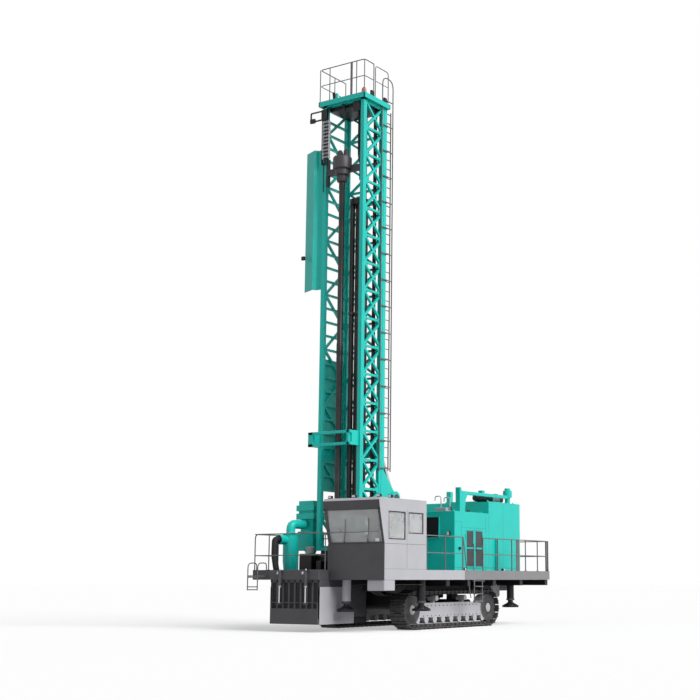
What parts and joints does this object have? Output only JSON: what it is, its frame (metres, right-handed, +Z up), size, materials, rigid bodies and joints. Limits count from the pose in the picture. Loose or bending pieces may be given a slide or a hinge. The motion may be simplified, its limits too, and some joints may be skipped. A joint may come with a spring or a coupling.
{
  "type": "rotary blasthole drill rig",
  "caption": "Crawler rotary blasthole drill rig with a folding lattice mast, rotary head, pipe carousel, dust skirt, cab and engine house.",
  "frame": {"origin": "on the ground under the middle of the machine", "axes": "+Z up, +X towards the drill end, +Y towards the cab side"},
  "size_m": [11.32, 5.04, 19.422],
  "materials": {
    "teal": "gloss",
    "light_grey": "satin",
    "mid_grey": "satin",
    "dark_grey": "satin",
    "track_steel": "matte",
    "black_steel": "satin",
    "pipe_steel": "satin",
    "rail_grey": "satin",
    "rod": "polished",
    "glass": "clear",
    "seat_fabric": "woven"
  },
  "bodies": {
    "chassis": {"air_receiver": "dark_grey", "cab_front_panel": "dark_grey", "cab_glass": "glass", "cab_roof": "light_grey", "cab_shell": "light_grey", "cooler_grille": "black_steel", "deck_left": "dark_grey", "deck_rear": "mid_grey", "deck_right": "light_grey", "drill_floor": "dark_grey", "dust_collector": "teal", "dust_skirt": "light_grey", "engine_block": "dark_grey", "house_low": "teal", "house_tall": "teal", "jack_tubes": "dark_grey", "main_frame": "dark_grey", "mast_rest": "teal", "mast_supports": "teal", "muffler": "black_steel", "operator_seat": "seat_fabric", "railing_front": "rail_grey", "railing_left": "rail_grey", "railing_right": "rail_grey", "track_frame_left": "light_grey", "track_frame_right": "light_grey", "track_left": "track_steel", "track_right": "track_steel"},
    "mast": {"mast_left": "teal", "mast_right": "teal", "mast_back": "teal", "mast_foot": "teal", "mast_crown": "teal", "mast_top_rail": "rail_grey", "mast_ladder": "light_grey", "mast_shield": "teal", "mast_yoke": "teal"},
    "head": {"rotary_head": "black_steel"},
    "string": {"drill_string": "pipe_steel"},
    "carousel": {"pipe_carousel": "black_steel", "stored_pipes": "pipe_steel"},
    "lift_barrel": {"lift_barrels": "black_steel"},
    "lift_rod": {"lift_rods": "rod"},
    "curtain": {"dust_curtain": "dark_grey"},
    "cab_door_leaf": {"cab_door": "light_grey", "cab_door_glass": "glass"},
    "ladder": {"access_ladder": "dark_grey"},
    "jack_front_right_leg": {"jack_front_right": "dark_grey"},
    "jack_front_left_leg": {"jack_front_left": "dark_grey"},
    "jack_middle_right_leg": {"jack_middle_right": "dark_grey"},
    "jack_middle_left_leg": {"jack_middle_left": "dark_grey"},
    "jack_rear_right_leg": {"jack_rear_right": "dark_grey"},
    "jack_rear_left_leg": {"jack_rear_left": "dark_grey"},
    "door_right_front": {"house_door_right_front": "teal"},
    "door_right_rear": {"house_door_right_rear": "teal"},
    "door_left_front": {"house_door_left_front": "teal"},
    "door_left_rear": {"house_door_left_rear": "teal"}
  },
  "joints": [
    {"name": "mast_fold", "type": "hinge", "parent": "chassis", "child": "mast", "pos_m": [1.35, -0.55, 4.33], "axis": [0, -1, 0], "range_deg": [0, 90]},
    {"name": "lift_swing", "type": "hinge", "parent": "chassis", "child": "lift_barrel", "pos_m": [0, -0.55, 2.33], "axis": [0, -1, 0], "range_deg": [0, 32.91]},
    {"name": "lift_stroke", "type": "slide", "parent": "lift_barrel", "child": "lift_rod", "axis": [-0.4571, 0, -0.8894], "range_m": [0, 1.5351]},
    {"name": "head_feed", "type": "slide", "parent": "mast", "child": "head", "axis": [0, 0, 1], "range_m": [-11.6, 1.2]},
    {"name": "string_spin", "type": "hinge", "parent": "head", "child": "string", "pos_m": [3.38, -0.55, 9], "axis": [0, 0, 1], "continuous": true},
    {"name": "carousel_index", "type": "hinge", "parent": "mast", "child": "carousel", "pos_m": [2.78, -0.25, 8], "axis": [0, 0, 1], "continuous": true},
    {"name": "curtain_lift", "type": "slide", "parent": "chassis", "child": "curtain", "axis": [0, 0, 1], "range_m": [0, 0.45]},
    {"name": "cab_door_hinge", "type": "hinge", "parent": "chassis", "child": "cab_door_leaf", "pos_m": [2.666, 2.42, 2.8], "axis": [0, 0, -1], "range_deg": [0, 90]},
    {"name": "ladder_fold", "type": "hinge", "parent": "chassis", "child": "ladder", "pos_m": [-0.6, 2.47, 1.57], "axis": [1, 0, 0], "range_deg": [0, 90]},
    {"name": "jack_front_right_stroke", "type": "slide", "parent": "chassis", "child": "jack_front_right_leg", "axis": [0, 0, -1], "range_m": [0, 0.75]},
    {"name": "jack_front_left_stroke", "type": "slide", "parent": "chassis", "child": "jack_front_left_leg", "axis": [0, 0, -1], "range_m": [0, 0.75]},
    {"name": "jack_middle_right_stroke", "type": "slide", "parent": "chassis", "child": "jack_middle_right_leg", "axis": [0, 0, -1], "range_m": [0, 0.75]},
    {"name": "jack_middle_left_stroke", "type": "slide", "parent": "chassis", "child": "jack_middle_left_leg", "axis": [0, 0, -1], "range_m": [0, 0.75]},
    {"name": "jack_rear_right_stroke", "type": "slide", "parent": "chassis", "child": "jack_rear_right_leg", "axis": [0, 0, -1], "range_m": [0, 0.75]},
    {"name": "jack_rear_left_stroke", "type": "slide", "parent": "chassis", "child": "jack_rear_left_leg", "axis": [0, 0, -1], "range_m": [0, 0.75]},
    {"name": "door_right_front_hinge", "type": "hinge", "parent": "chassis", "child": "door_right_front", "pos_m": [-1.24, 1.584, 2.65], "axis": [0, 0, -1], "range_deg": [0, 110]},
    {"name": "door_right_rear_hinge", "type": "hinge", "parent": "chassis", "child": "door_right_rear", "pos_m": [-2.39, 1.584, 2.65], "axis": [0, 0, 1], "range_deg": [0, 110]},
    {"name": "door_left_front_hinge", "type": "hinge", "parent": "chassis", "child": "door_left_front", "pos_m": [-1.24, -1.584, 2.65], "axis": [0, 0, 1], "range_deg": [0, 110]},
    {"name": "door_left_rear_hinge", "type": "hinge", "parent": "chassis", "child": "door_left_rear", "pos_m": [-2.39, -1.584, 2.65], "axis": [0, 0, -1], "range_deg": [0, 110]}
  ],
  "couplings": [
    {"joint": "lift_swing", "follows": "mast_fold", "ratio": 0.36565},
    {"joint": "lift_stroke", "follows": "mast_fold", "m_per_rad": 0.97725}
  ]
}
